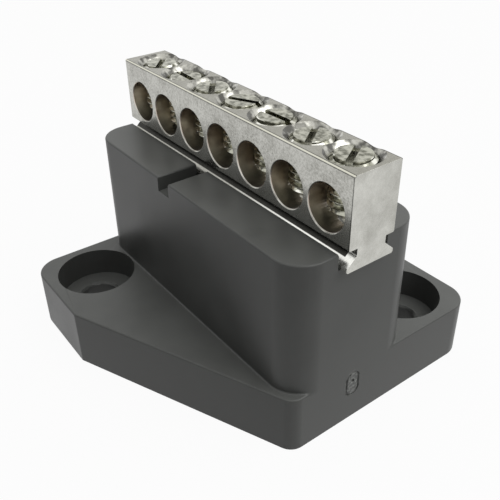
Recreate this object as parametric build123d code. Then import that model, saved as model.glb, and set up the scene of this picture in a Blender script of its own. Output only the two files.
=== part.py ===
from build123d import *
from math import atan2, radians, tan
import os

# Seven-way terminal block: a moulded insulating base and a tin-plated bar with a clamp screw
# for each cable bore. Millimetres. X runs along the bar, towards the end that stands proud,
# the open side of the base's notch faces -Y, and Z is up from the mounting plane. The origin
# is the middle of the two fixing holes.

# Base moulding
base_length = 70.7            # along the bar, at the mounting plane
plate_height = 12.8
pedestal_width = 30.6
pedestal_height = 40.8
pedestal_corner = 6.5         # upright corners of the pedestal
draft_angle = 0.6             # mould draft on every upright wall
lug_length = 22.9             # straight outer side of a lug
lug_corner = 5.7
wing_end_inset = 0.5          # inside the pedestal's side, where the slanted side meets the end face
wing_end_corner = 3.4
wing_lug_corner = 1.2
top_edge_radius = 0.4

# Fixing holes, one in each lug, half a turn apart
lug_side_wall = 2.4           # left outside the counterbore, at the lug's outer side
lug_end_wall = 2.35           # left outside the counterbore, at the lug's end
counterbore_gap = 0.2         # between the counterbore and the pedestal's side
fixing_hole_diameter = 8.6
fixing_hole_chamfer = 0.5
counterbore_diameter = 17.4
counterbore_depth = 6.6

# Hollow underside
wall_thickness = 3.0
rib_thickness = 2.4
pocket_count = 3
pocket_corner = 1.2
boss_wall = 2.6               # around a counterbore, towards the pocket beside it

# Groove that holds the bar's foot, and the notch through its front lip
groove_depth = 3.1
foot_side_gap = 0.35
notch_width = 3.9
notch_position = -5.5

# Moulding mark low on the end face
mark_width = 3.6
mark_height = 6.0
mark_rise = 8.9
mark_ring = 0.55
mark_depth = 0.3

# Terminal bar
way_count = 7
way_pitch = 10.0
bar_end_margin = 6.0          # from the last bore's axis to the end of the bar
bar_proud = 1.62              # how far the bar stands out of the groove at one end
bar_width = 10.3
bar_body_height = 13.6
bar_edge_radius = 0.3
neck_width = 6.5
neck_height = 1.45
foot_width = 10.75
foot_flank_height = 1.9
foot_edge_height = 0.9
foot_edge_radius = 0.35

# Cable bores across the bar
bore_diameter = 8.6
bore_rise = 5.5               # from the underside of the bar's body to the bore's axis
bore_mouth_chamfer = 0.2

# Tapped holes and M8 clamp screws
hole_setback = 0.45           # from the bar's middle towards its back, +Y
thread_diameter = 8.0
thread_clearance = 0.05       # all round, between the screw and its hole
tap_drill_diameter = 6.8
thread_past_bore = 2.6        # full thread ends this far below the bore's axis
drill_past_thread = 0.6
drill_point_angle = 118.0
countersink_diameter = 10.2
screw_length = 10.0
screw_top_chamfer = 0.75
screw_tip_chamfer = 0.7
slot_width = 1.2
slot_depth = 1.3
# One pair for each screw, in order along +X: the turn of its slot about Z, in degrees, and
# how deep its top lies below the top of the bar
screw_settings = [(-42, 0.35), (-3, 0.8), (-38, 0.2), (26, 0.15), (3, 0.05), (-53, 0.25), (-58, 0.05)]

# Worked out from the sizes above
fixing_offset_x = base_length / 2 - lug_end_wall - counterbore_diameter / 2
fixing_offset_y = pedestal_width / 2 + counterbore_gap + counterbore_diameter / 2
base_width = 2 * (fixing_offset_y + counterbore_diameter / 2 + lug_side_wall)
wing_end = pedestal_width / 2 - wing_end_inset
groove_floor = pedestal_height - groove_depth
groove_width = foot_width + 2 * foot_side_gap
bar_length = (way_count - 1) * way_pitch + 2 * bar_end_margin
bar_body_bottom = groove_floor + foot_edge_height + foot_flank_height + neck_height
bar_top = bar_body_bottom + bar_body_height
bore_axis_height = bar_body_bottom + bore_rise
draft_slope = tan(radians(draft_angle))
groove_end = base_length / 2 - groove_floor * draft_slope
bar_shift = groove_end + bar_proud - bar_length / 2


def way_positions():
    first = bar_shift - (way_count - 1) * way_pitch / 2
    return [first + way * way_pitch for way in range(way_count)]


def half_turn(shape):
    return shape.rotate(Axis.Z, 180)


def plate_solid():
    """The flat plate with a lug at two opposite corners and a slanted side beside each lug."""
    half_length, half_width = base_length / 2, base_width / 2
    lug_end = half_length - lug_length
    half_outline = [(-half_length, -half_width), (-lug_end, -half_width), (half_length, -wing_end)]
    outline = half_outline + [(-x, -y) for x, y in half_outline]
    sketch = make_face(Polyline(*outline, close=True))
    corners = {0: lug_corner, 1: wing_lug_corner, 2: wing_end_corner}
    for place, radius in corners.items():
        for x, y in (half_outline[place], outline[place + len(half_outline)]):
            near = sketch.vertices().sort_by_distance((x, y, 0))[0]
            sketch = fillet(near, radius)
    return extrude(sketch, plate_height, taper=draft_angle)


def pedestal_solid():
    outline = RectangleRounded(base_length, pedestal_width, pedestal_corner)
    return extrude(outline, pedestal_height, taper=draft_angle)


def pedestal_pockets():
    """A row of open cells under the pedestal, with a rib between each two."""
    cavity_length = base_length - 2 * wall_thickness
    cavity_width = pedestal_width - 2 * wall_thickness
    cavity = RectangleRounded(cavity_length, cavity_width, pedestal_corner - wall_thickness)
    cell = (cavity_length - (pocket_count - 1) * rib_thickness) / pocket_count
    depth = groove_floor - wall_thickness
    pockets = []
    for place in range(pocket_count):
        middle = -cavity_length / 2 + cell / 2 + place * (cell + rib_thickness)
        window = Pos(middle, 0) * Rectangle(cell, cavity_width)
        outline = cavity & window
        sharp = [v for v in outline.vertices() if abs(abs(v.Y) - cavity_width / 2) < 0.01
                 and abs(abs(v.X - middle) - cell / 2) < 0.01]
        outline = fillet(sharp, pocket_corner)
        pockets.append(extrude(outline, depth, taper=draft_angle))
    return pockets


def wing_pocket():
    """The three-cornered cell under the slanted side of the plate, beside the -Y lug."""
    half_length, half_width = base_length / 2, base_width / 2
    lug_end = half_length - lug_length
    slant = (half_width - wing_end) / (half_length + lug_end)
    inset = wall_thickness * (1 + slant ** 2) ** 0.5

    def inner_y(x):
        return -half_width + slant * (x + lug_end) + inset

    left = -fixing_offset_x + counterbore_diameter / 2 + boss_wall
    top = -pedestal_width / 2
    right = -lug_end + (top + half_width - inset) / slant
    outline = make_face(Polyline((left, inner_y(left)), (right, top), (left, top), close=True))
    outline = fillet(outline.vertices(), pocket_corner)
    return extrude(outline, plate_height - wall_thickness, taper=draft_angle)


def fixing_hole():
    """A counterbored hole through the -X, -Y lug, with a broken edge at the inner hole."""
    shoulder = plate_height - counterbore_depth
    hole = Cylinder(fixing_hole_diameter / 2, plate_height, align=(Align.CENTER, Align.CENTER, Align.MIN))
    counterbore = Pos(0, 0, shoulder) * Cylinder(
        counterbore_diameter / 2, plate_height, align=(Align.CENTER, Align.CENTER, Align.MIN))
    broken_edge = Pos(0, 0, shoulder - fixing_hole_chamfer) * Cone(
        fixing_hole_diameter / 2, fixing_hole_diameter / 2 + fixing_hole_chamfer, fixing_hole_chamfer,
        align=(Align.CENTER, Align.CENTER, Align.MIN))
    return Pos(-fixing_offset_x, -fixing_offset_y, 0) * (hole + counterbore + broken_edge)


def moulding_mark():
    """An oval ring sunk in the +X end face, with a small sunk dot inside it."""
    face_x = base_length / 2 - mark_rise * draft_slope
    on_end = Plane(origin=(face_x - mark_depth, 0, mark_rise), x_dir=(0, 1, 0), z_dir=(1, 0, 0))
    outer = SlotOverall(mark_height, mark_width, rotation=90)
    inner = SlotOverall(mark_height - 2 * mark_ring, mark_width - 2 * mark_ring, rotation=90)
    dot = Pos(0, mark_height / 8) * Circle(mark_width / 8)
    return extrude(on_end * (outer - inner + dot), 2 * mark_depth)


def base_moulding():
    plate, pedestal = plate_solid(), pedestal_solid()
    body = plate + pedestal
    groove = Pos(0, 0, groove_floor) * Box(
        2 * base_length, groove_width, 2 * groove_depth, align=(Align.CENTER, Align.CENTER, Align.MIN))
    notch = Pos(notch_position, 0, groove_floor) * Box(
        notch_width, pedestal_width, 2 * groove_depth, align=(Align.CENTER, Align.MAX, Align.MIN))
    body = body - groove - notch
    body = round_top_edges(body)
    for pocket in pedestal_pockets():
        body = body - pocket
    wing = wing_pocket()
    hole = fixing_hole()
    body = body - wing - half_turn(wing) - hole - half_turn(hole)
    return body - moulding_mark()


def round_top_edges(body):
    """Break the outer edges of the pedestal's top and of the plate's top."""
    edge_heights = (pedestal_height, plate_height)
    groove_sides = groove_width / 2 + top_edge_radius
    outer = [edge for edge in body.edges()
             if min(abs(edge.center().Z - height) for height in edge_heights) < 0.01
             and abs(edge.bounding_box().max.Z - edge.bounding_box().min.Z) < 0.01
             and max(abs(edge.bounding_box().max.Y), abs(edge.bounding_box().min.Y)) > groove_sides]
    return fillet(outer, top_edge_radius)


def bar_profile():
    """Section of the bar across its length: rectangular body, neck and dovetail foot."""
    body, neck, foot = bar_width / 2, neck_width / 2, foot_width / 2
    edge_top = groove_floor + foot_edge_height
    flank_top = edge_top + foot_flank_height
    right = [(foot, groove_floor), (foot, edge_top), (neck, flank_top), (neck, bar_body_bottom),
             (body, bar_body_bottom), (body, bar_top)]
    left = [(-y, z) for y, z in reversed(right)]
    section = make_face(Polyline(*right, *left, close=True))
    for reach, radius in ((foot, foot_edge_radius), (body, bar_edge_radius)):
        corners = [v for v in section.vertices() if abs(abs(v.X) - reach) < 0.001]
        section = fillet(corners, radius)
    return section


def cable_bore():
    """One bore right through the bar along Y, with a light chamfer at each mouth."""
    bore = Cylinder(bore_diameter / 2, 2 * bar_width)
    mouth = Pos(0, 0, bar_width / 2 - bore_mouth_chamfer) * Cone(
        bore_diameter / 2, bore_diameter / 2 + 2 * bore_mouth_chamfer, 2 * bore_mouth_chamfer,
        align=(Align.CENTER, Align.CENTER, Align.MIN))
    tool = bore + mouth + mouth.mirror(Plane.XY)
    return Pos(0, 0, bore_axis_height) * tool.rotate(Axis.X, 90)


def tapped_hole():
    """Countersink, thread at its full diameter, then the drill's own wall and point."""
    thread_radius = thread_diameter / 2 + thread_clearance
    sink_radius, drill_radius = countersink_diameter / 2, tap_drill_diameter / 2
    thread_end = bore_axis_height - thread_past_bore
    drill_end = thread_end - drill_past_thread
    point = drill_end - drill_radius / tan(radians(drill_point_angle / 2))
    above = bar_top + sink_radius
    profile = Polyline((0, above), (2 * sink_radius, above), (thread_radius, bar_top + thread_radius - sink_radius),
                       (thread_radius, thread_end), (drill_radius, thread_end), (drill_radius, drill_end),
                       (0, point), close=True)
    return revolve(Plane.XZ * make_face(profile), Axis.Z)


def terminal_bar():
    section = Plane.YZ * bar_profile()
    bar = Pos(bar_shift - bar_length / 2, 0, 0) * extrude(section, bar_length, dir=(1, 0, 0))
    bore, hole = cable_bore(), tapped_hole()
    for x in way_positions():
        bar = bar - Pos(x, 0, 0) * bore - Pos(x, hole_setback, 0) * hole
    return bar


def clamp_screw(x, slot_turn, sunk):
    """A slotted set screw with a chamfered top and tip, at its thread's full diameter."""
    radius = thread_diameter / 2 - thread_clearance
    top, tip = bar_top - sunk, bar_top - sunk - screw_length
    profile = Polyline((0, tip), (radius - screw_tip_chamfer, tip), (radius, tip + screw_tip_chamfer),
                       (radius, top - screw_top_chamfer), (radius - screw_top_chamfer, top), (0, top), close=True)
    screw = revolve(Plane.XZ * make_face(profile), Axis.Z)
    slot = Pos(0, 0, top - slot_depth) * Box(
        thread_diameter * 2, slot_width, slot_depth * 2, align=(Align.CENTER, Align.CENTER, Align.MIN))
    return Pos(x, hole_setback, 0) * (screw - slot.rotate(Axis.Z, slot_turn))


def main():
    os.makedirs("parts", exist_ok=True)
    pieces = {"base_moulding": base_moulding(), "terminal_bar": terminal_bar()}
    for place, x in enumerate(way_positions()):
        slot_turn, sunk = screw_settings[place % len(screw_settings)]
        pieces[f"clamp_screw_{place + 1}"] = clamp_screw(x, slot_turn, sunk)
    for name, shape in pieces.items():
        export_step(shape, f"parts/{name}.step")
        print(name, "solids", len(shape.solids()), "volume", round(shape.volume, 1))


main()
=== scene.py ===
import bpy
import bmesh
from math import pi, radians
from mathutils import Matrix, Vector


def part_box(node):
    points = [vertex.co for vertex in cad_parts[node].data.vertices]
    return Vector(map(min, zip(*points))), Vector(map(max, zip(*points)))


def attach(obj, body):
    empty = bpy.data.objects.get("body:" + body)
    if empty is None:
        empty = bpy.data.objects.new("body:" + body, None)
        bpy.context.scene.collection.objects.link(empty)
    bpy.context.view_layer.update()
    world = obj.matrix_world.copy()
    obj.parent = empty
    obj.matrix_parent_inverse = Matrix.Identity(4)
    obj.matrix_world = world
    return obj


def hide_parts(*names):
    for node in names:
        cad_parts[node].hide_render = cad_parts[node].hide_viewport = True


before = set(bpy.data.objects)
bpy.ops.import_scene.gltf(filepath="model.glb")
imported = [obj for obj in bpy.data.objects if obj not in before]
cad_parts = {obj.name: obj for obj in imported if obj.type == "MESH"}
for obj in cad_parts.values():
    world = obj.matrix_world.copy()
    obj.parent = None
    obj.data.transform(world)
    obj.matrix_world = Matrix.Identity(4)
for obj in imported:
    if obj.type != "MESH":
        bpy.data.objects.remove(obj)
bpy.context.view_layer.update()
print("frame loaded")


def nodeMaker(tree):
    # returns a short way to add a node with its settings and unlinked values
    def make(kind, inputs=None, **settings):
        node = tree.nodes.new(kind)
        for name, value in settings.items():
            setattr(node, name, value)
        for key, value in (inputs or {}).items():
            if isinstance(value, bpy.types.NodeSocket):
                tree.links.new(value, node.inputs[key])
            else:
                node.inputs[key].default_value = value
        return node
    return make


def math(make, operation, first, second=None, third=None):
    inputs = {0: first}
    if second is not None:
        inputs[1] = second
    if third is not None:
        inputs[2] = third
    return make("ShaderNodeMath", inputs, operation=operation).outputs[0]


def newMaterial(name):
    material = bpy.data.materials.new(name)
    material.use_nodes = True
    tree = material.node_tree
    tree.nodes.clear()
    make = nodeMaker(tree)
    output = make("ShaderNodeOutputMaterial")
    shader = make("ShaderNodeBsdfPrincipled")
    tree.links.new(shader.outputs["BSDF"], output.inputs["Surface"])
    return material, tree, make, shader


def ramp(make, source, low, high, lowColor, highColor):
    node = make("ShaderNodeValToRGB", {"Fac": source})
    node.color_ramp.elements[0].position = low
    node.color_ramp.elements[1].position = high
    node.color_ramp.elements[0].color = (*lowColor, 1)
    node.color_ramp.elements[1].color = (*highColor, 1)
    return node.outputs["Color"]


def noise(make, place, scale, detail, **more):
    inputs = {"Vector": place, "Scale": scale, "Detail": detail, **more}
    return make("ShaderNodeTexNoise", inputs).outputs["Fac"]


def spread(make, source, low, high, toLow=0.0, toHigh=1.0):
    # carries low..high over to toLow..toHigh and holds the ends
    return make("ShaderNodeMapRange", {"Value": source, "From Min": low, "From Max": high,
                                       "To Min": toLow, "To Max": toHigh}).outputs["Result"]


def mixed(make, share, first, second):
    return make("ShaderNodeMix", {"Factor": share, "A": first, "B": second}).outputs["Result"]


def tinted(make, share, first, second):
    # the same for two colours
    inputs = {"Factor": share, "A": first, "B": second}
    return make("ShaderNodeMix", inputs, data_type="RGBA").outputs["Result"]


def toned(make, color, tone):
    scaled = make("ShaderNodeVectorMath", {0: color, "Scale": tone}, operation="SCALE")
    return scaled.outputs["Vector"]


def vectorMath(make, operation, first, second):
    node = make("ShaderNodeVectorMath", {0: first, 1: second}, operation=operation)
    return node.outputs["Vector"]


def facing(make):
    # the X, Y and Z parts of the way a face points
    normal = make("ShaderNodeNewGeometry").outputs["True Normal"]
    return make("ShaderNodeSeparateXYZ", {"Vector": normal}).outputs


def roughened(make, tree, shader, strength, distance, height):
    bump = make("ShaderNodeBump", {"Strength": strength, "Distance": distance, "Height": height})
    tree.links.new(bump.outputs["Normal"], shader.inputs["Normal"])


# in all three looks a range says between which values of a noise or a facing a tone changes
plasticLook = {
    "dark": (0.044, 0.0453, 0.0428), "light": (0.055, 0.0567, 0.0535),
    "patchScale": 60, "patchRoughness": 0.6, "patchRange": (0.35, 0.65),
    "upRange": (0.5, 1.0), "paintedTopTone": 0.55,
    "roughness": (0.33, 0.45), "roughRange": (0.3, 0.7), "shine": 0.32,
    "grainScale": 2600, "grainHeight": 0.00002, "grainStrength": 0.35,
    "markPlace": (0.03533, -0.00005, 0.00912), "markStretch": (0.3, 1.0, 0.62),
    "markReach": 0.0021, "markFade": 0.8, "markHighlightTone": 1.7,
    "markHighlightScale": 1900, "markHighlightRange": (0.46, 0.60)}


def mouldedPlastic(look):
    # dark plastic, paler where it faces up as painted light, with a painted highlight in patches
    # over the moulding mark
    material, tree, make, shader = newMaterial("darkMouldedPlastic")
    place = make("ShaderNodeTexCoord").outputs["Object"]
    patches = noise(make, place, look["patchScale"], 4, Roughness=look["patchRoughness"])
    color = ramp(make, patches, *look["patchRange"], look["dark"], look["light"])
    onTop = spread(make, facing(make)["Z"], *look["upRange"])
    # a painted highlight in noisy patches over the oval of the moulding mark
    fromMark = vectorMath(make, "SUBTRACT", place, look["markPlace"])
    fromMark = vectorMath(make, "MULTIPLY", fromMark, look["markStretch"])
    fromMark = make("ShaderNodeVectorMath", {0: fromMark}, operation="LENGTH").outputs["Value"]
    nearMark = spread(make, fromMark, look["markReach"], look["markReach"] * look["markFade"])
    markHighlight = spread(make, noise(make, place, look["markHighlightScale"], 2), *look["markHighlightRange"])
    markHighlight = math(make, "MULTIPLY", math(make, "MULTIPLY", nearMark, markHighlight), look["markHighlightTone"])
    # painted light: paler on faces that point up, plus the painted highlight at the mark
    tone = math(make, "ADD", math(make, "MULTIPLY_ADD", onTop, look["paintedTopTone"], 1.0), markHighlight)
    tree.links.new(toned(make, color, tone), shader.inputs["Base Color"])
    shader.inputs["Specular IOR Level"].default_value = look["shine"]
    haze = spread(make, patches, *look["roughRange"], *look["roughness"])
    tree.links.new(haze, shader.inputs["Roughness"])
    grain = noise(make, place, look["grainScale"], 2)
    roughened(make, tree, shader, look["grainStrength"], look["grainHeight"], grain)
    return material


# lengths in metres; a drop is measured down from the bar's top, a reach out from its middle
barLook = {
    "dull": (0.345, 0.342, 0.312), "bright": (0.525, 0.522, 0.487), "plateRange": (0.41, 0.59),
    "roughness": (0.31, 0.19), "hazeRange": (0.38, 0.62), "blur": 0.00008,
    "stroke": (2200, 2200, 300), "strokeHeight": 0.000014, "strokeStrength": 0.5,
    "mottleScale": 2100, "mottleRoughness": 0.7, "mottleShare": 0.85,
    "blotchScale": 260, "blotchShare": 0.35,
    "paintedEndLight": 0.17, "endCalm": 0.75,
    "paintedTopTone": -0.20, "topShadeColor": (0.31, 0.30, 0.245), "topShare": 0.55, "upRange": (0.5, 0.95),
    "bareDark": (0.40, 0.335, 0.28), "bareLight": (0.66, 0.585, 0.50),
    "bareRange": (0.35, 0.65), "bareRoughness": 0.34,
    "borePitch": 0.010, "boreCount": 7, "boreRadius": 0.00436, "boreDrop": 0.0081,
    "boreFloor": (-0.0012, -0.0036), "floorReflectionShare": 0.8,
    "edgeReach": 0.00515, "edgeWidth": 0.00024, "edgeFade": 0.2,
    "edgeHighlightColor": (0.72, 0.71, 0.60), "edgeRoughness": 0.12,
    "shadeLineTone": 0.34, "lineWidth": 0.00017, "cornerWidth": 0.00025, "cornerFacing": 0.3,
    "recessDrop": 0.01365, "recessReach": 0.00410, "recessInset": 0.0006,
    "recessShadeTone": 0.10, "recessFacing": 0.5,
    "lipHighlightColor": (0.95, 0.95, 0.90), "lipFade": (0.002, 0.021), "lipLeast": 0.1,
    "coneFacing": (0.7, 0.2),  # how far up the cone's faces point, and the margin
    "coneScale": 520, "coneRange": (0.42, 0.60), "coneReflectionTones": (0.32, 1.25)}


def platedBar(look, firstBore, barTop, barEnd, baseEnd):
    # tin plate outside, browner on the walls of the bores, with a painted highlight along the top
    # edges
    material, tree, make, shader = newMaterial("tinPlatedBar")
    shader.inputs["Metallic"].default_value = 1.0
    place = make("ShaderNodeTexCoord").outputs["Object"]
    axes = make("ShaderNodeSeparateXYZ", {"Vector": place}).outputs
    face = facing(make)
    onEnd = math(make, "ABSOLUTE", face["X"])
    onTop = spread(make, face["Z"], *look["upRange"])

    # grain of the drawn bar, calmer on its ends
    stretch = make("ShaderNodeMapping", {"Vector": place, "Scale": look["stroke"]})
    stroke = noise(make, stretch.outputs["Vector"], 1.0, 3)
    mottle = noise(make, place, look["mottleScale"], 3, Roughness=look["mottleRoughness"])
    blotch = noise(make, place, look["blotchScale"], 3)
    grain = mixed(make, look["mottleShare"], stroke, mottle)
    calm = math(make, "SUBTRACT", 1.0, math(make, "MULTIPLY", onEnd, look["endCalm"]))
    grain = math(make, "MULTIPLY", math(make, "SUBTRACT", grain, 0.5), calm)
    grain = math(make, "ADD", 0.5, grain)
    both = mixed(make, look["blotchShare"], grain, blotch)
    plated = ramp(make, both, *look["plateRange"], look["dull"], look["bright"])
    # painted light: the ends of the bar paler
    tone = math(make, "MULTIPLY_ADD", onEnd, look["paintedEndLight"], 1.0)
    # painted shade: the top darker, and tinted browner
    tone = math(make, "ADD", tone, math(make, "MULTIPLY", onTop, look["paintedTopTone"]))
    plated = toned(make, plated, tone)
    topShare = math(make, "MULTIPLY", onTop, look["topShare"])
    plated = tinted(make, topShare, plated, (*look["topShadeColor"], 1))

    # the walls of the bores, bare and browner, turning back to the plated colour towards their
    # floors as a painted reflection
    fromFirst = math(make, "SUBTRACT", axes["X"], firstBore)
    nearest = math(make, "ROUND", math(make, "DIVIDE", fromFirst, look["borePitch"]))
    nearest = math(make, "MINIMUM", math(make, "MAXIMUM", nearest, 0), look["boreCount"] - 1)
    across = math(make, "SUBTRACT", fromFirst, math(make, "MULTIPLY", nearest, look["borePitch"]))
    above = math(make, "SUBTRACT", axes["Z"], barTop - look["boreDrop"])
    reach = math(make, "ADD", math(make, "MULTIPLY", across, across),
                 math(make, "MULTIPLY", above, above))
    reach = math(make, "SQRT", reach)
    inBore = spread(make, reach, look["boreRadius"], look["boreRadius"] + look["blur"], 1.0, 0.0)
    bare = ramp(make, blotch, *look["bareRange"], look["bareDark"], look["bareLight"])
    onFloor = spread(make, above, *look["boreFloor"], 0.0, look["floorReflectionShare"])
    bare = tinted(make, onFloor, bare, plated)

    # a painted highlight along the long top edges, with a fine line of painted shade beside them
    # and one down the near corner
    outward = math(make, "ABSOLUTE", axes["Y"])
    toEdge = math(make, "ADD", outward, axes["Z"])
    edgeStart = look["edgeReach"] + barTop - look["edgeWidth"]
    onEdge = spread(make, toEdge, edgeStart, edgeStart + look["edgeWidth"] * look["edgeFade"])
    halfLine = look["lineWidth"] / 2
    topShadeLine = math(make, "SUBTRACT", edgeStart, toEdge)
    topShadeLine = math(make, "COMPARE", topShadeLine, halfLine, halfLine)
    cornerShadeLine = math(make, "GREATER_THAN", axes["X"], barEnd - look["cornerWidth"])
    onSide = math(make, "LESS_THAN", onEnd, look["cornerFacing"])
    cornerShadeLine = math(make, "MULTIPLY", cornerShadeLine, onSide)
    cornerShadeLine = math(make, "MULTIPLY", cornerShadeLine, math(make, "SUBTRACT", 1.0, onTop))
    line = math(make, "MAXIMUM", topShadeLine, cornerShadeLine)
    # painted shade in the fine lines beside the top edges and down the near corner
    plated = toned(make, plated, math(make, "MULTIPLY_ADD", line, look["shadeLineTone"] - 1, 1.0))

    # painted shade in the recess over the foot, and a painted highlight on the lip that fades along
    # the bar
    below = math(make, "LESS_THAN", axes["Z"], barTop - look["recessDrop"])
    below = math(make, "MULTIPLY", below, math(make, "LESS_THAN", onEnd, look["recessFacing"]))
    covered = math(make, "LESS_THAN", axes["X"], baseEnd - look["recessInset"])
    inner = spread(make, outward, look["recessReach"], look["recessReach"] + look["blur"], 1.0, 0.0)
    recessShade = math(make, "MULTIPLY", below, math(make, "MULTIPLY", covered, inner))
    lipShare = spread(make, axes["X"], *look["lipFade"], look["lipLeast"])
    lipHighlight = math(make, "MULTIPLY", math(make, "SUBTRACT", below, recessShade), lipShare)
    # painted shade over the foot in the recess
    plated = toned(make, plated, math(make, "MULTIPLY_ADD", recessShade, look["recessShadeTone"] - 1, 1.0))
    # a painted highlight on the lip
    plated = tinted(make, lipHighlight, plated, (*look["lipHighlightColor"], 1))

    # painted reflections in the countersinks, as glints and dark patches
    onCone = math(make, "COMPARE", face["Z"], *look["coneFacing"])
    onCone = math(make, "MULTIPLY", onCone, math(make, "SUBTRACT", 1.0, below))
    coneReflections = noise(make, place, look["coneScale"], 2)
    coneReflections = spread(make, coneReflections, *look["coneRange"], *look["coneReflectionTones"])
    coneReflections = math(make, "SUBTRACT", coneReflections, 1.0)
    plated = toned(make, plated, math(make, "MULTIPLY_ADD", onCone, coneReflections, 1.0))

    color = tinted(make, inBore, plated, bare)
    # the painted highlight along the long top edges
    color = tinted(make, onEdge, color, (*look["edgeHighlightColor"], 1))
    tree.links.new(color, shader.inputs["Base Color"])
    haze = spread(make, both, *look["hazeRange"], *look["roughness"])
    haze = mixed(make, inBore, haze, look["bareRoughness"])
    haze = mixed(make, onEdge, haze, look["edgeRoughness"])
    tree.links.new(haze, shader.inputs["Roughness"])
    drawn = math(make, "SUBTRACT", 1.0, math(make, "MAXIMUM", inBore, onEdge))
    raised = math(make, "MULTIPLY", grain, drawn)
    roughened(make, tree, shader, look["strokeStrength"], look["strokeHeight"], raised)
    return material


screwLook = {
    "dull": (0.135, 0.135, 0.10), "bright": (0.49, 0.487, 0.41),
    "blotchScale": 950, "blotchRange": (0.37, 0.6),
    "roughness": (0.25, 0.11), "hazeRange": (0.3, 0.7), "dentHeight": 0.00003, "dentStrength": 0.6,
    "glint": (0.95, 0.945, 0.86), "glintScale": 420, "glintRange": (0.51, 0.59),
    "chamferFacing": (0.7, 0.16)}  # how far up the chamfer points, and the margin


def platedScrew(look):
    # worn zinc plate, with painted glints on the chamfers
    material, tree, make, shader = newMaterial("zincPlatedScrew")
    shader.inputs["Metallic"].default_value = 1.0
    place = make("ShaderNodeTexCoord").outputs["Object"]
    blotch = noise(make, place, look["blotchScale"], 4)
    color = ramp(make, blotch, *look["blotchRange"], look["dull"], look["bright"])
    onChamfer = math(make, "COMPARE", facing(make)["Z"], *look["chamferFacing"])
    glints = spread(make, noise(make, place, look["glintScale"], 1), *look["glintRange"])
    glints = math(make, "MULTIPLY", onChamfer, glints)
    # painted glints on the chamfers
    tree.links.new(tinted(make, glints, color, (*look["glint"], 1)), shader.inputs["Base Color"])
    haze = spread(make, blotch, *look["hazeRange"], *look["roughness"])
    tree.links.new(haze, shader.inputs["Roughness"])
    roughened(make, tree, shader, look["dentStrength"], look["dentHeight"], blotch)
    return material


firstLow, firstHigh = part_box("clamp_screw_1")
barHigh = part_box("terminal_bar")[1]
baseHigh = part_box("base_moulding")[1]
plastic = mouldedPlastic(plasticLook)
firstBore = (firstLow[0] + firstHigh[0]) / 2
barMetal = platedBar(barLook, firstBore, barHigh[2], barHigh[0], baseHigh[0])
screwMetal = platedScrew(screwLook)
print("materials made")


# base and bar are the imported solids, with joined faces and soft edges
softEdges = {"joinWithin": 0.000001, "flatAngle": 0.4, "steps": 2, "overAngle": 38,
             "faceWeight": 100}
edgeLook = {"base_moulding": (plastic, 0.00012, "base_plastic"),
            "terminal_bar": (barMetal, 0.00005, "bar_metal")}


def plainMesh(piece):
    # the piece as its modifiers leave it, as a mesh of its own
    graph = bpy.context.evaluated_depsgraph_get()
    return bpy.data.meshes.new_from_object(piece.evaluated_get(graph))


def softEdged(node, material, edgeWidth):
    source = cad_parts[node].data
    mesh = bmesh.new()
    mesh.from_mesh(source)
    bmesh.ops.remove_doubles(mesh, verts=mesh.verts, dist=softEdges["joinWithin"])
    flat = radians(softEdges["flatAngle"])
    bmesh.ops.dissolve_limit(mesh, angle_limit=flat, verts=mesh.verts, edges=mesh.edges)
    merged = bpy.data.meshes.new(node + "Shown")
    mesh.to_mesh(merged)
    mesh.free()
    merged.materials.append(material)
    merged.shade_smooth()
    piece = bpy.data.objects.new(node + "Shown", merged)
    bpy.context.scene.collection.objects.link(piece)
    bevel = piece.modifiers.new("softEdges", "BEVEL")
    bevel.width = edgeWidth
    bevel.segments = softEdges["steps"]
    bevel.limit_method = "ANGLE"
    bevel.angle_limit = radians(softEdges["overAngle"])
    bevel.use_clamp_overlap = True
    even = piece.modifiers.new("evenShading", "WEIGHTED_NORMAL")
    even.mode = "FACE_AREA"
    even.weight = softEdges["faceWeight"]
    shown = plainMesh(piece)
    piece.modifiers.clear()
    piece.data = shown
    return piece


for node, (material, edgeWidth, slot) in edgeLook.items():
    piece = softEdged(node, material, edgeWidth)
    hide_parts(node)
    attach(piece, "block")
    print(node, "shown with", len(piece.data.polygons), "faces")


def newTree(name, floats, others):
    tree = bpy.data.node_groups.new(name, "GeometryNodeTree")
    tree.interface.new_socket(name="Geometry", in_out="OUTPUT", socket_type="NodeSocketGeometry")
    for label, kind in [(label, "NodeSocketFloat") for label in floats] + list(others):
        tree.interface.new_socket(name=label, in_out="INPUT", socket_type=kind)
    given, output = tree.nodes.new("NodeGroupInput"), tree.nodes.new("NodeGroupOutput")
    return tree, nodeMaker(tree), given, output


# lengths in metres, slot turns and angle in degrees; the slope back to the next crest takes
# what the three shares leave of a pitch
setScrew = {
    "sizes": {"Length": 0.010, "Crest Radius": 0.00395, "Root Radius": 0.0033, "Pitch": 0.00125,
              "Thread Start": 0.037, "Top Chamfer": 0.00075, "Tip Chamfer": 0.0007,
              "Slot Width": 0.0012, "Slot Depth": 0.0013, "Steps": 56, "Rows": 52},
    "slotTurns": (-42, -3, -38, 26, 3, -53, -58),
    "crestShare": 0.125, "slopeShare": 0.3125, "rootShare": 0.25,
    "joinWithin": 0.000002, "sharpAngle": 32}


def grownPiece(name, tree, values, material):
    # runs a tree on an empty object and keeps the plain mesh that comes out
    holder = bpy.data.objects.new(name, bpy.data.meshes.new(name))
    bpy.context.scene.collection.objects.link(holder)
    modifier = holder.modifiers.new("grow", "NODES")
    modifier.node_group = tree
    for item in tree.interface.items_tree:
        if item.in_out == "INPUT" and item.name in values:
            modifier[item.identifier] = values[item.name]
    grown = plainMesh(holder)
    holder.modifiers.clear()
    holder.data = grown
    grown.materials.clear()
    grown.materials.append(material)
    grown.shade_smooth()
    grown.set_sharp_from_angle(angle=radians(setScrew["sharpAngle"]))
    return holder


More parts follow.
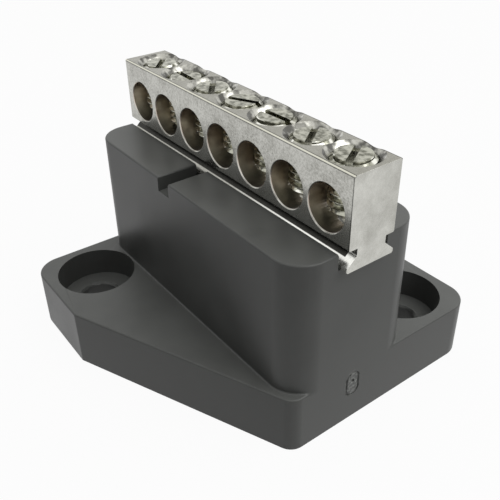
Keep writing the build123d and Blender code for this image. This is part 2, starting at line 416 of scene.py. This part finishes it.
def screwTree():
    # a grid rolled into a threaded set screw, with its slot cut out
    floats = ("Centre X", "Centre Y", "Top Height", "Length", "Crest Radius", "Root Radius",
              "Pitch", "Thread Start", "Top Chamfer", "Tip Chamfer", "Slot Turn", "Slot Width",
              "Slot Depth")
    others = (("Steps", "NodeSocketInt"), ("Rows", "NodeSocketInt"),
              ("Material", "NodeSocketMaterial"))
    tree, make, given, output = newTree("slottedSetScrew", floats, others)
    value = given.outputs
    columns = math(make, "ADD", value["Steps"], 1)
    grid = make("GeometryNodeMeshGrid", {"Vertices X": columns, "Vertices Y": value["Rows"]})
    index = make("GeometryNodeInputIndex").outputs[0]
    row = math(make, "MODULO", index, value["Rows"])
    column = math(make, "FLOOR", math(make, "DIVIDE", math(make, "ADD", index, 0.5), value["Rows"]))
    around = math(make, "DIVIDE", column, value["Steps"])
    turn = math(make, "FLOOR", math(make, "DIVIDE", math(make, "ADD", row, 0.5), 4))
    corner = math(make, "SUBTRACT", row, math(make, "MULTIPLY", turn, 4))
    # four corners for each turn of the thread along the axis: crest, crest, root, root
    crestPart = math(make, "MULTIPLY", math(make, "MINIMUM", corner, 1), setScrew["crestShare"])
    slopePart = math(make, "MINIMUM", math(make, "SUBTRACT", corner, 1), 1)
    slopePart = math(make, "MAXIMUM", slopePart, 0)
    slopePart = math(make, "MULTIPLY", slopePart, setScrew["slopeShare"])
    rootPart = math(make, "MAXIMUM", math(make, "SUBTRACT", corner, 2), 0)
    rootPart = math(make, "MULTIPLY", rootPart, setScrew["rootShare"])
    inTooth = math(make, "ADD", crestPart, math(make, "ADD", slopePart, rootPart))
    tip = math(make, "SUBTRACT", value["Top Height"], value["Length"])
    toTip = math(make, "DIVIDE", math(make, "SUBTRACT", tip, value["Thread Start"]), value["Pitch"])
    firstTurn = math(make, "SUBTRACT", math(make, "FLOOR", toTip), 2)
    turns = math(make, "ADD", math(make, "ADD", firstTurn, turn),
                 math(make, "ADD", inTooth, around))
    height = math(make, "ADD", value["Thread Start"], math(make, "MULTIPLY", value["Pitch"], turns))
    height = math(make, "MAXIMUM", math(make, "MINIMUM", height, value["Top Height"]), tip)
    isRoot = math(make, "GREATER_THAN", corner, 1.5)
    radius = mixed(make, isRoot, value["Crest Radius"], value["Root Radius"])
    topEdge = math(make, "SUBTRACT", value["Crest Radius"], value["Top Chamfer"])
    topRadius = math(make, "ADD", topEdge, math(make, "SUBTRACT", value["Top Height"], height))
    tipEdge = math(make, "SUBTRACT", value["Crest Radius"], value["Tip Chamfer"])
    tipRadius = math(make, "ADD", tipEdge, math(make, "SUBTRACT", height, tip))
    radius = math(make, "MINIMUM", radius, math(make, "MINIMUM", topRadius, tipRadius))
    lastRow = math(make, "SUBTRACT", value["Rows"], 1.5)
    inner = math(make, "MULTIPLY", math(make, "GREATER_THAN", row, 0.5),
                 math(make, "LESS_THAN", row, lastRow))
    radius = math(make, "MULTIPLY", radius, inner)
    angle = math(make, "MULTIPLY", around, 2 * pi)
    alongX = math(make, "MULTIPLY", radius, math(make, "COSINE", angle))
    alongY = math(make, "MULTIPLY", radius, math(make, "SINE", angle))
    spot = make("ShaderNodeCombineXYZ", {"X": math(make, "ADD", value["Centre X"], alongX),
                                         "Y": math(make, "ADD", value["Centre Y"], alongY),
                                         "Z": height})
    placed = make("GeometryNodeSetPosition", {"Geometry": grid.outputs["Mesh"],
                                              "Position": spot.outputs[0]})
    merged = make("GeometryNodeMergeByDistance", {"Geometry": placed.outputs[0],
                                                  "Distance": setScrew["joinWithin"]})
    slotSize = make("ShaderNodeCombineXYZ", {"X": math(make, "MULTIPLY", value["Crest Radius"], 3),
                                             "Y": value["Slot Width"],
                                             "Z": math(make, "MULTIPLY", value["Slot Depth"], 2)})
    block = make("GeometryNodeMeshCube", {"Size": slotSize.outputs[0]})
    slotPlace = make("ShaderNodeCombineXYZ", {"X": value["Centre X"], "Y": value["Centre Y"],
                                              "Z": value["Top Height"]})
    slotTurn = make("ShaderNodeCombineXYZ", {"Z": value["Slot Turn"]})
    slot = make("GeometryNodeTransform", {"Geometry": block.outputs["Mesh"],
                                          "Translation": slotPlace.outputs[0],
                                          "Rotation": slotTurn.outputs[0]})
    cut = make("GeometryNodeMeshBoolean", {"Mesh 1": merged.outputs[0], "Mesh 2": slot.outputs[0]},
               operation="DIFFERENCE", solver="EXACT")
    real = make("GeometryNodeRealizeInstances", {"Geometry": cut.outputs["Mesh"]})
    finish = make("GeometryNodeSetMaterial", {"Geometry": real.outputs[0],
                                              "Material": value["Material"]})
    tree.links.new(finish.outputs[0], output.inputs["Geometry"])
    return tree


oneScrew = screwTree()
for place, slotTurn in enumerate(setScrew["slotTurns"]):
    node = f"clamp_screw_{place + 1}"
    low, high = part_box(node)
    values = dict(setScrew["sizes"])
    values["Centre X"] = (low[0] + high[0]) / 2
    values["Centre Y"] = (low[1] + high[1]) / 2
    values["Top Height"] = high[2]
    values["Slot Turn"] = radians(slotTurn)
    values["Material"] = screwMetal
    screw = grownPiece(f"threadedScrew{place + 1}", oneScrew, values, screwMetal)
    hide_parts(node)
    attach(screw, f"screw_{place + 1}")
    print("screw", place + 1, "has", len(screw.data.polygons), "faces")


# floor, light and camera
studio = {
    "roomStrength": 0.07, "skyStrength": 1.7, "skySide": (0.08, 0.36, 0.90), "skyEdge": (0.25, 0.9),
    "keyEnergy": 2.0, "keySize": 0.62, "keyPlace": (0.39, 0.20, 0.53), "keyTarget": (0, 0, 0.025),
    "floorHalf": 3.0, "floorDrop": 0.00001, "floorColor": (0.42, 0.42, 0.42, 1),
    "floorRoughness": 0.9, "floorWhite": 0.95}


def directlySeen(make):
    # 1 for what the camera sees, also in a mirror or through glass, and 0 for light on the object
    paths = make("ShaderNodeLightPath").outputs
    reflected = math(make, "MAXIMUM", paths["Is Glossy Ray"], paths["Is Transmission Ray"])
    return math(make, "MAXIMUM", paths["Is Camera Ray"], reflected)


def makeFloor():
    mesh = bpy.data.meshes.new("floor")
    half = studio["floorHalf"]
    corners = [(-half, -half, 0), (half, -half, 0), (half, half, 0), (-half, half, 0)]
    mesh.from_pydata(corners, [], [(0, 1, 2, 3)])
    floor = bpy.data.objects.new("floor", mesh)
    bpy.context.scene.collection.objects.link(floor)
    floor.location.z = -studio["floorDrop"]
    material, tree, make, shader = newMaterial("paleFloor")
    shader.inputs["Base Color"].default_value = studio["floorColor"]
    shader.inputs["Roughness"].default_value = studio["floorRoughness"]
    shader.inputs["Specular IOR Level"].default_value = 0.0
    white = make("ShaderNodeEmission", {"Color": (1, 1, 1, 1), "Strength": 1.0})
    whiteShare = math(make, "MULTIPLY", directlySeen(make), studio["floorWhite"])
    shown = make("ShaderNodeMixShader", {0: whiteShare, 1: shader.outputs["BSDF"],
                                         2: white.outputs["Emission"]})
    tree.links.new(shown.outputs[0], tree.nodes["Material Output"].inputs["Surface"])
    mesh.materials.append(material)


def makeLight(name, place, size, energy, target):
    lamp = bpy.data.lights.new(name, "AREA")
    lamp.shape = "DISK"
    lamp.size = size
    lamp.energy = energy
    holder = bpy.data.objects.new(name, lamp)
    holder.location = place
    aim = Vector(target) - Vector(place)
    holder.rotation_euler = aim.to_track_quat("-Z", "Y").to_euler()
    bpy.context.scene.collection.objects.link(holder)


makeFloor()
makeLight("keyLight", studio["keyPlace"], studio["keySize"], studio["keyEnergy"],
          studio["keyTarget"])

world = bpy.data.worlds.new("studioWorld")
bpy.context.scene.world = world
world.use_nodes = True
worldMake = nodeMaker(world.node_tree)
world.node_tree.nodes.clear()
# light from a pale backdrop behind and above and a dimmer room in front, and plain white where
# the surroundings are seen or mirrored
toward = worldMake("ShaderNodeTexCoord").outputs["Generated"]
skySide = Vector(studio["skySide"]).normalized()
side = worldMake("ShaderNodeVectorMath", {0: toward, 1: skySide}, operation="DOT_PRODUCT")
room = worldMake("ShaderNodeMapRange",
                 {"Value": side.outputs["Value"], "From Min": studio["skyEdge"][0],
                  "From Max": studio["skyEdge"][1], "To Min": studio["roomStrength"],
                  "To Max": studio["skyStrength"]}, interpolation_type="SMOOTHSTEP")
strength = mixed(worldMake, directlySeen(worldMake), room.outputs["Result"], 1.0)
sky = worldMake("ShaderNodeBackground", {"Color": (1, 1, 1, 1), "Strength": strength})
worldMake("ShaderNodeOutputWorld", {"Surface": sky.outputs[0]})

cameraSettings = {"place": (0.09791, -0.06972, 0.10091), "turn": (56.457, 0.882, 53.167),
                  "lens": 47.73, "sensor": 36, "nearest": 0.005}
camera = bpy.data.objects.new("photoCamera", bpy.data.cameras.new("photoCamera"))
camera.data.sensor_width = cameraSettings["sensor"]
camera.data.lens = cameraSettings["lens"]
camera.data.clip_start = cameraSettings["nearest"]
camera.location = cameraSettings["place"]
camera.rotation_euler = [radians(angle) for angle in cameraSettings["turn"]]
bpy.context.scene.collection.objects.link(camera)
bpy.context.scene.camera = camera
bpy.context.scene.view_settings.view_transform = "Standard"
print("light and camera set")
